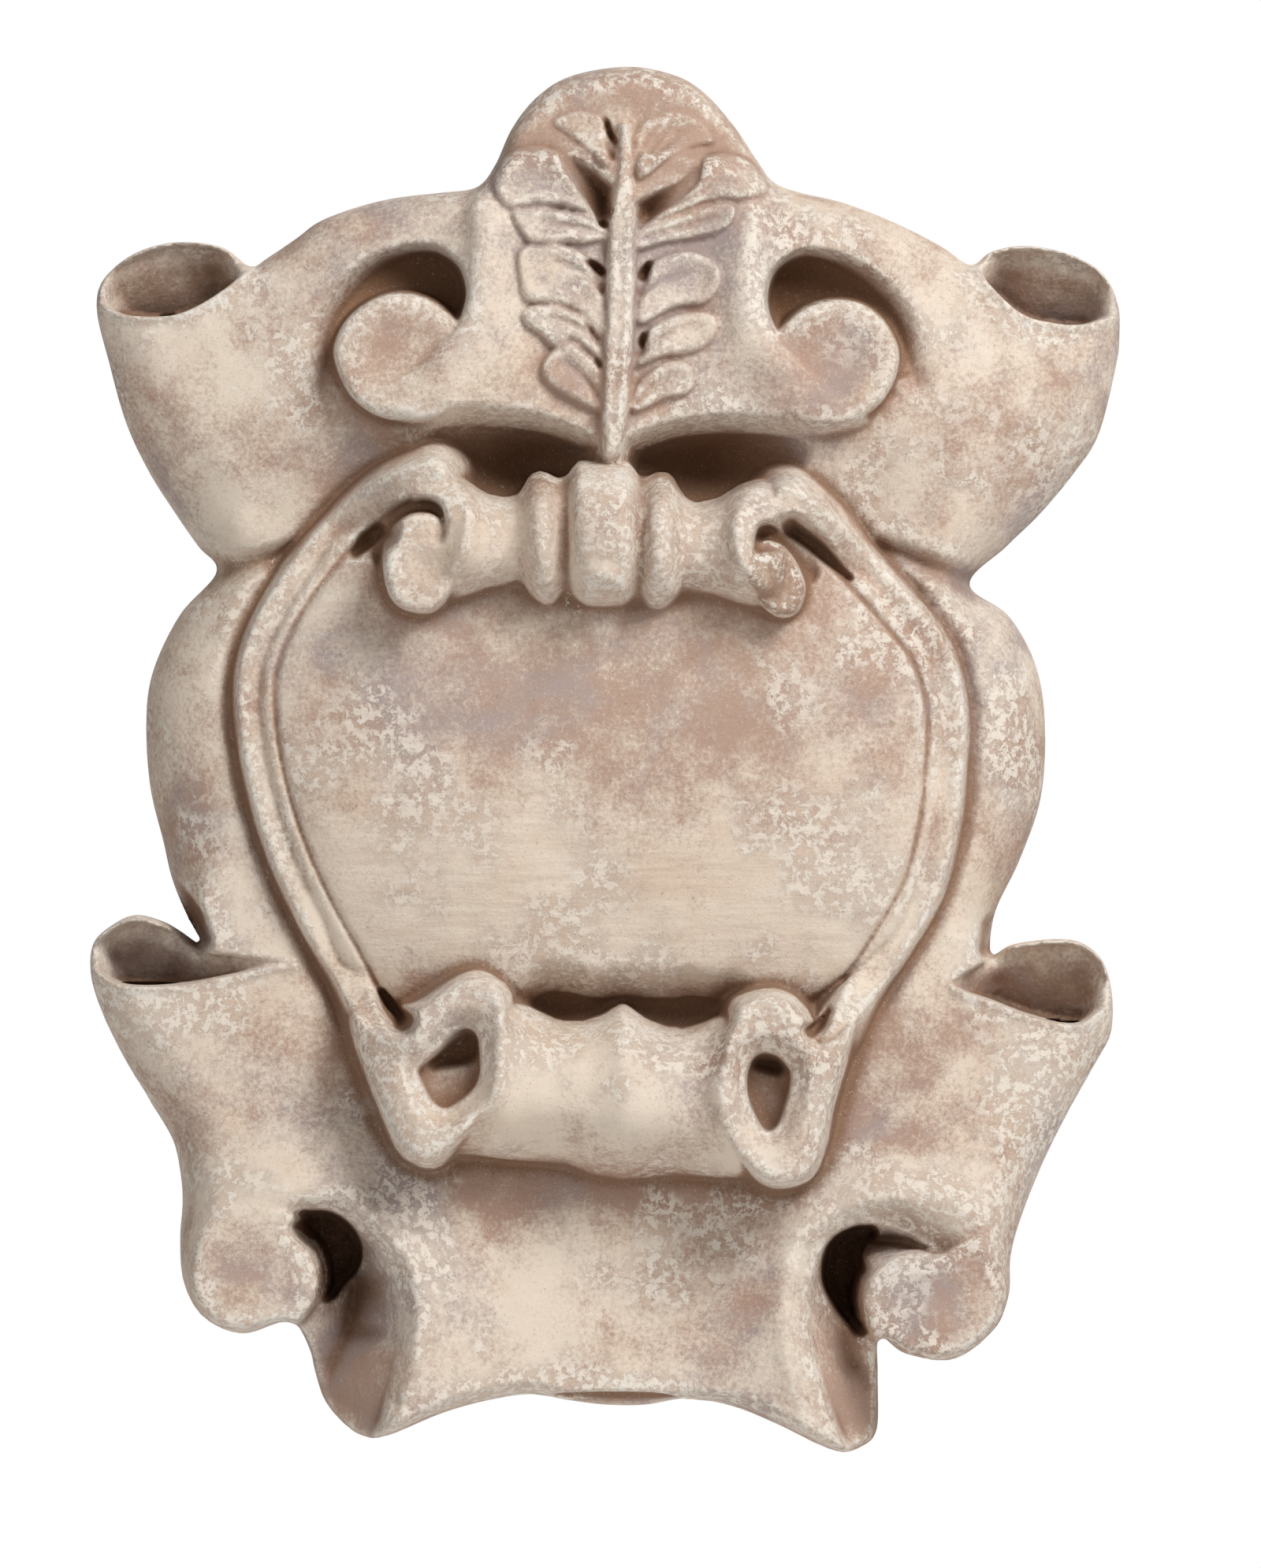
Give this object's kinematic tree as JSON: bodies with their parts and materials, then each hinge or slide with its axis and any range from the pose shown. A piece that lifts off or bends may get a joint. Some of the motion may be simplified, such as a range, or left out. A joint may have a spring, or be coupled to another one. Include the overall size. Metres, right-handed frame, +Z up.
{
  "type": "armorial panel",
  "caption": "Wall-hung strapwork cartouche in limewashed fired clay: rolled ears, volutes, a leaf crest and a blank convex field.",
  "frame": {"origin": "on the flat back, in the middle of the panel's height, on the line through the leaf and the foot", "axes": "+X to the viewer's right, -Y towards the viewer, +Y into the wall, +Z up"},
  "size_m": [0.6696, 0.2037, 0.9002],
  "materials": {
    "limewashed_clay": "chalky limewash worn down to pinkish brown fired clay, dark in the hollows"
  },
  "bodies": {
    "root": {"armorial_cartouche": "limewashed_clay"}
  },
  "joints": []
}
